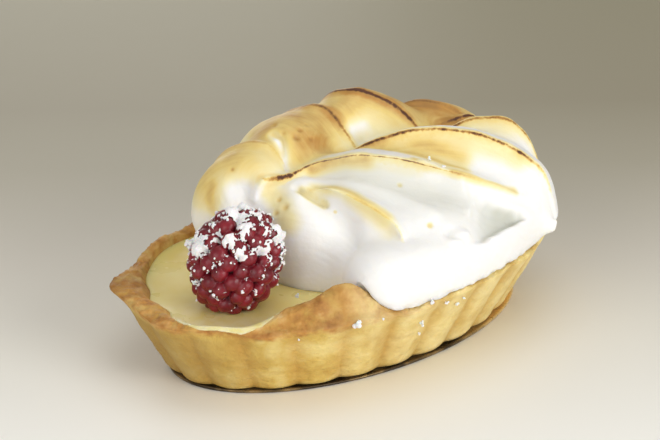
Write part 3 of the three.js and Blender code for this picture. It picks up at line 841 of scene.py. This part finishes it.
def make_meringue():
    parts = [fold_part(fold, index) for index, fold in enumerate(FOLDS)]
    parts += [mass_part(*mass) for mass in MASSES]
    parts.append(roll_part())
    verts, quads = one_skin("meringue_draft", parts, MERINGUE["voxel"])
    distance, fold_id, place = nearest_crest(verts)
    verts = relax(verts, quads, 3 + 110 * smoothstep(distance, 1.0, 8))
    verts, hollow = press_in(verts, vertex_normals(verts, quads))
    verts = relax(verts, quads, np.full(len(verts), 2))
    normals = vertex_normals(verts, quads)
    fine = np.stack([distance, place * 3.0, fold_id * 7.0], axis=1)
    ripple = gradient_noise(fine * [1, 0.6, 1], 0.9, 131) * 0.07 * smoothstep(distance, 0.8, 3)
    lumps = 0.16 * layered_noise(verts, 9, 141) + 0.03 * layered_noise(verts, 1.8, 151)
    verts = verts + normals * (ripple + lumps * smoothstep(distance, 0, 3))[:, None]
    gold, edge = browning(verts, normals, fold_id, place)
    verts = rest_on_shell(verts, normals)
    return mesh_object("meringue_folds", verts, quads, dict(
        crest=distance, edge=edge, gold=gold, hollow=hollow, streak=fine))


# Materials

class Graph:
    """A material's node tree, built by short calls."""

    def __init__(self, name):
        self.material = bpy.data.materials.new(name)
        self.material.use_nodes = True
        self.tree = self.material.node_tree
        self.shader = self.tree.nodes["Principled BSDF"]

    def add(self, kind, **settings):
        node = self.tree.nodes.new(kind)
        for key, value in settings.items():
            setattr(node, key, value)
        return node

    def link(self, source, target):
        self.tree.links.new(source, target)

    def set(self, **values):
        for key, value in values.items():
            self.shader.inputs[key.replace("_", " ")].default_value = value

    def attribute(self, name, kind="Fac"):
        return self.add("ShaderNodeAttribute", attribute_name=name).outputs[kind]

    def place(self):
        return self.add("ShaderNodeTexCoord").outputs["Object"]

    def noise(self, scale, detail=3, source=None):
        node = self.add("ShaderNodeTexNoise")
        node.inputs["Scale"].default_value = scale
        node.inputs["Detail"].default_value = detail
        self.link(source or self.place(), node.inputs["Vector"])
        return node.outputs["Fac"]

    def feed(self, socket, value):
        """Gives a socket a colour or a number, or links another node's output to it."""
        if isinstance(value, tuple):
            socket.default_value = (*value, 1)
        elif isinstance(value, (int, float)):
            socket.default_value = value
        else:
            self.link(value, socket)

    def math(self, operation, a, b):
        node = self.add("ShaderNodeMath", operation=operation)
        self.feed(node.inputs[0], a)
        self.feed(node.inputs[1], b)
        return node.outputs[0]

    def times(self, a, b):
        return self.math("MULTIPLY", a, b)

    def plus(self, a, b):
        return self.math("ADD", a, b)

    def minus(self, a, b):
        return self.math("SUBTRACT", a, b)

    def blend(self, a, a_share, b, b_share):
        return self.plus(self.times(a, a_share), self.times(b, b_share))

    def ramp(self, value, stops):
        """A colour or grey ramp. Each stop is a place and a colour, or a place and a grey."""
        node = self.add("ShaderNodeValToRGB")
        for _ in stops[2:]:
            node.color_ramp.elements.new(0.5)
        for element, (place, colour) in zip(node.color_ramp.elements, stops):
            element.position = place
            element.color = (*colour, 1) if isinstance(colour, tuple) else (colour, colour, colour, 1)
        self.link(value, node.inputs["Fac"])
        return node.outputs["Color"]

    def mix(self, factor, a, b):
        node = self.add("ShaderNodeMix", data_type="RGBA")
        self.feed(node.inputs["Factor"], factor)
        self.feed(node.inputs[6], a)
        self.feed(node.inputs[7], b)
        return node.outputs[2]

    def bump(self, height, strength, distance):
        node = self.add("ShaderNodeBump")
        node.inputs["Strength"].default_value = strength
        node.inputs["Distance"].default_value = distance
        self.link(height, node.inputs["Height"])
        self.link(node.outputs["Normal"], self.shader.inputs["Normal"])

    def colour(self, source):
        self.link(source, self.shader.inputs["Base Color"])

    def roughness(self, source):
        self.link(source, self.shader.inputs["Roughness"])


def pastry_material():
    g = Graph("baked_pastry")
    mottle = g.blend(g.noise(120), 0.75, g.noise(420), 0.25)
    wall = g.ramp(mottle, [
        (0.36, (0.54, 0.34, 0.07)), (0.5, (0.65, 0.455, 0.115)), (0.64, (0.75, 0.59, 0.22))])
    ragged = g.times(g.minus(g.noise(330), 0.5), 1.1)
    baked = g.plus(g.attribute("baked"), ragged)
    crumb = g.blend(g.noise(380, 4), 0.6, g.noise(110, 2), 0.4)
    brown = g.ramp(crumb, [
        (0.36, (0.30, 0.115, 0.022)), (0.5, (0.50, 0.235, 0.052)), (0.64, (0.68, 0.42, 0.145))])
    colour = g.mix(g.ramp(baked, [(0.45, 0.0), (0.85, 1.0)]), wall, brown)
    colour = g.mix(g.times(g.attribute("dark"), 0.75), colour, (0.22, 0.08, 0.02))
    # painted shade: the flute valleys mixed towards dark orange-brown, where shade falls between the ridges
    colour = g.mix(g.times(g.attribute("valley"), 0.6), colour, (0.52, 0.28, 0.06))
    # painted shade: the wall's left side mixed towards dark brown
    colour = g.mix(g.times(g.attribute("left_painted_shade"), 0.75), colour, (0.34, 0.20, 0.045))
    # painted sheen: pale streaks on the flute ridges towards the camera's right, standing for gloss lit by
    # the key light
    sheen = g.times(g.attribute("pale"), g.ramp(g.noise(210), [(0.34, 0.35), (0.66, 0.85)]))
    sheen = g.times(sheen, g.minus(1.0, g.attribute("valley")))
    colour = g.mix(sheen, colour, (0.88, 0.73, 0.35))
    glaze = g.ramp(g.plus(g.attribute("glaze"), g.minus(g.noise(300, 2), 0.5)),
                   [(0.35, 0.0), (0.6, 0.75)])
    colour = g.mix(glaze, colour, (0.74, 0.58, 0.30))
    g.colour(colour)
    dull = g.mix(sheen, (0.62, 0.62, 0.62), (0.36, 0.36, 0.36))
    g.roughness(g.mix(glaze, dull, (0.2, 0.2, 0.2)))
    grain = g.plus(g.noise(1400, 4), g.times(g.noise(500), 1.5))
    g.bump(grain, 0.55, 0.0004)
    g.set(Subsurface_Weight=0.12, Subsurface_Scale=0.001, Specular_IOR_Level=0.35,
          Subsurface_Radius=(1.0, 0.6, 0.25))
    return g.material


def curd_material():
    g = Graph("lemon_curd_gel")
    colour = g.ramp(g.noise(90, 2), [(0.35, (0.76, 0.61, 0.17)), (0.7, (0.84, 0.72, 0.29))])
    # painted light: the curd beside the meringue lightened towards pale yellow
    colour = g.mix(g.attribute("painted_light"), colour, (1.0, 0.83, 0.33))
    patchy = g.ramp(g.noise(350), [(0.35, 0.25), (0.65, 0.85)])
    g.colour(g.mix(g.times(g.attribute("film"), patchy), colour, (0.88, 0.78, 0.54)))
    g.roughness(g.ramp(g.noise(160, 2), [(0.3, 0.26), (0.7, 0.34)]))
    g.bump(g.noise(260), 0.12, 0.0005)
    g.set(Subsurface_Weight=0.5, Subsurface_Scale=0.003, Specular_IOR_Level=0.5,
          Subsurface_Radius=(1.0, 0.8, 0.3))
    return g.material


def meringue_material():
    g = Graph("browned_meringue")
    streak = g.attribute("streak", "Vector")
    lines = g.noise(1.1, source=streak)
    blotch = g.noise(300, 4)
    gold = g.times(g.attribute("gold"), g.plus(g.times(lines, 0.20), 0.55))
    gold = g.times(gold, g.plus(g.times(blotch, 0.25), 0.97))
    ragged = g.times(g.minus(g.noise(1100), 0.5), 0.8)
    crest = g.plus(g.attribute("crest"), ragged)
    near = g.math("MAXIMUM", g.minus(1.0, g.math("DIVIDE", crest, 0.57)), 0.0)
    halo = g.math("MAXIMUM", g.minus(1.0, g.math("DIVIDE", crest, 2.2)), 0.0)
    near = g.times(g.plus(near, g.times(halo, 0.4)), g.attribute("edge"))
    heat = g.plus(gold, near)
    colour = g.ramp(heat, [
        (0.03, (0.875, 0.868, 0.85)), (0.17, (0.87, 0.785, 0.47)), (0.37, (0.79, 0.615, 0.23)),
        (0.58, (0.52, 0.28, 0.068)), (0.90, (0.10, 0.035, 0.015))])
    # painted shade: the pocket, the broad front face and the notch greyed towards olive
    g.colour(g.mix(g.times(g.attribute("hollow"), 0.6), colour, (0.50, 0.51, 0.41)))
    g.bump(g.plus(g.noise(1600), g.times(lines, 0.5)), 0.2, 0.0003)
    g.set(Roughness=0.5, Subsurface_Weight=0.7, Subsurface_Scale=0.003, Specular_IOR_Level=0.35,
          Subsurface_Radius=(1.0, 0.9, 0.75))
    return g.material


def berry_material():
    g = Graph("raspberry_skin")
    colour = g.ramp(g.noise(240, 2), [(0.3, (0.125, 0.004, 0.010)), (0.7, (0.25, 0.011, 0.022))])
    # painted shade: the grooves between the drupelets darkened, where shade falls
    colour = g.mix(g.ramp(g.attribute("groove"), [(0.0, 1.0), (0.6, 0.0)]), colour, (0.055, 0.002, 0.006))
    g.colour(colour)
    g.bump(g.noise(1500, 2), 0.2, 0.0002)
    g.set(Roughness=0.36, Subsurface_Weight=0.3, Subsurface_Scale=0.0015, Specular_IOR_Level=0.45,
          Subsurface_Radius=(1.0, 0.15, 0.12))
    return g.material


def sugar_material():
    g = Graph("icing_sugar_powder")
    g.colour(g.ramp(g.noise(2500, 2), [(0.3, (0.82, 0.80, 0.80)), (0.7, (0.93, 0.92, 0.92))]))
    g.bump(g.noise(4000), 0.5, 0.0002)
    g.set(Roughness=0.9, Subsurface_Weight=0.2, Subsurface_Scale=0.0006, Specular_IOR_Level=0.2)
    return g.material


def card_material():
    g = Graph("gold_brown_card")
    # painted shade and glints: the card is dark brown for its shaded edge under the pie, with lighter patches
    # as painted glints
    dark = g.ramp(g.noise(160), [(0.45, (0.05, 0.032, 0.015)), (0.68, (0.34, 0.23, 0.10))])
    along = g.add("ShaderNodeSeparateXYZ")
    g.link(g.place(), along.inputs[0])
    # painted reflection: the card turns gold towards +X, where it mirrors the pastry wall
    g.colour(g.mix(g.ramp(along.outputs["X"], [(0.012, 0.0), (0.034, 1.0)]), dark, (0.92, 0.64, 0.25)))
    g.roughness(g.ramp(g.noise(400, 2), [(0.3, 0.2), (0.7, 0.38)]))
    g.bump(g.noise(300, 2), 0.15, 0.0003)
    g.set(Metallic=0.6)
    return g.material


def floor_material():
    g = Graph("pale_table")
    # painted shade: the table darkens with distance behind the pie and slightly towards the left, standing
    # for the light's falloff
    away = g.add("ShaderNodeVectorMath", operation="DOT_PRODUCT")
    right, up, back = view_axes()
    g.link(g.place(), away.inputs[0])
    away.inputs[1].default_value = (-back[0] - 0.05 * right[0], -back[1] - 0.05 * right[1], 0)
    g.colour(g.ramp(g.plus(away.outputs["Value"], 0.112), [
        (0.055, (0.93, 0.915, 0.86)), (0.105, (0.77, 0.74, 0.66)), (0.145, (0.63, 0.59, 0.51)),
        (0.195, (0.43, 0.395, 0.305)), (0.235, (0.34, 0.305, 0.22)), (0.32, (0.33, 0.30, 0.205))]))
    g.bump(g.noise(60, 2), 0.05, 0.001)
    g.set(Roughness=0.5, Specular_IOR_Level=0.3)
    return g.material


# Stage

# Square soft lights along the camera's own axes, in metres and watts
LIGHTS = [
    dict(name="key", right=0.55, up=0.05, back=0.55, size=0.45, power=3.75, colour=(1.0, 0.995, 0.985)),
    dict(name="fill", right=-0.38, up=0.03, back=0.6, size=0.5, power=1.9, colour=(1.0, 0.99, 0.98)),
    dict(name="overhead", right=0.1, up=0.8, back=-0.1, size=0.6, power=1.25, colour=(1.0, 0.99, 0.97)),
    dict(name="behind", right=-0.15, up=0.35, back=-0.7, size=0.35, power=1.1, colour=(1.0, 0.99, 0.97)),
]
STUDIO = dict(colour=(0.96, 0.95, 0.92, 1), strength=0.38)


def make_stage():
    bpy.ops.mesh.primitive_plane_add(size=6)
    floor = bpy.context.object
    floor.name = "table_top"
    floor.data.materials.append(floor_material())
    world = bpy.data.worlds.new("studio")
    bpy.context.scene.world = world
    world.use_nodes = True
    background = world.node_tree.nodes["Background"]
    background.inputs["Color"].default_value = STUDIO["colour"]
    background.inputs["Strength"].default_value = STUDIO["strength"]


def view_axes():
    """The camera's right, up and back directions when it looks straight at the base."""
    a, e = math.radians(CAMERA["azimuth"]), math.radians(CAMERA["elevation"])
    back = Vector((math.sin(a) * math.cos(e), -math.cos(a) * math.cos(e), math.sin(e)))
    right = Vector((math.cos(a), math.sin(a), 0))
    return right, back.cross(right), back


def add_softbox(name, right, up, back, size, power, colour):
    """A square soft light that is turned to the pie."""
    axes = view_axes()
    light = bpy.data.lights.new(name, "AREA")
    light.size = size
    light.energy = power
    light.color = colour
    obj = bpy.data.objects.new(name, light)
    obj.location = axes[0] * right + Vector((0, 0, 1)) * up + axes[2] * back
    obj.rotation_euler = (obj.location - Vector((0, 0, 0.02))).to_track_quat("Z", "Y").to_euler()
    bpy.context.scene.collection.objects.link(obj)


def make_camera():
    right, up, back = view_axes()
    data = bpy.data.cameras.new("photo_camera")
    data.sensor_width = CAMERA["sensor_mm"]
    data.lens = CAMERA["focal_pixels"] / IMAGE["width"] * data.sensor_width
    camera = bpy.data.objects.new("photo_camera", data)
    camera.location = back * CAMERA["distance"] * MM
    aim = -back
    aim += right * (IMAGE["width"] / 2 - BASE_PIXEL[0]) / CAMERA["focal_pixels"]
    aim += up * (BASE_PIXEL[1] - IMAGE["height"] / 2) / CAMERA["focal_pixels"]
    camera.rotation_euler = aim.to_track_quat("-Z", "Y").to_euler()
    bpy.context.scene.collection.objects.link(camera)
    bpy.context.scene.camera = camera
    bpy.context.scene.view_settings.view_transform = "Standard"


def finish_piece(obj, material, node=None):
    obj.data.materials.append(material)
    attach(obj, "root")
    if node:
        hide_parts(node)


make_camera()
make_stage()
for softbox in LIGHTS:
    add_softbox(**softbox)
finish_piece(make_card(), card_material(), "base_card")
finish_piece(make_crust(), pastry_material(), "crust")
finish_piece(make_curd(), curd_material(), "lemon_curd")
finish_piece(make_meringue(), meringue_material(), "meringue")
finish_piece(make_berry(), berry_material(), "raspberry")
finish_piece(make_icing_sugar(), sugar_material())

bpy.context.view_layer.update()
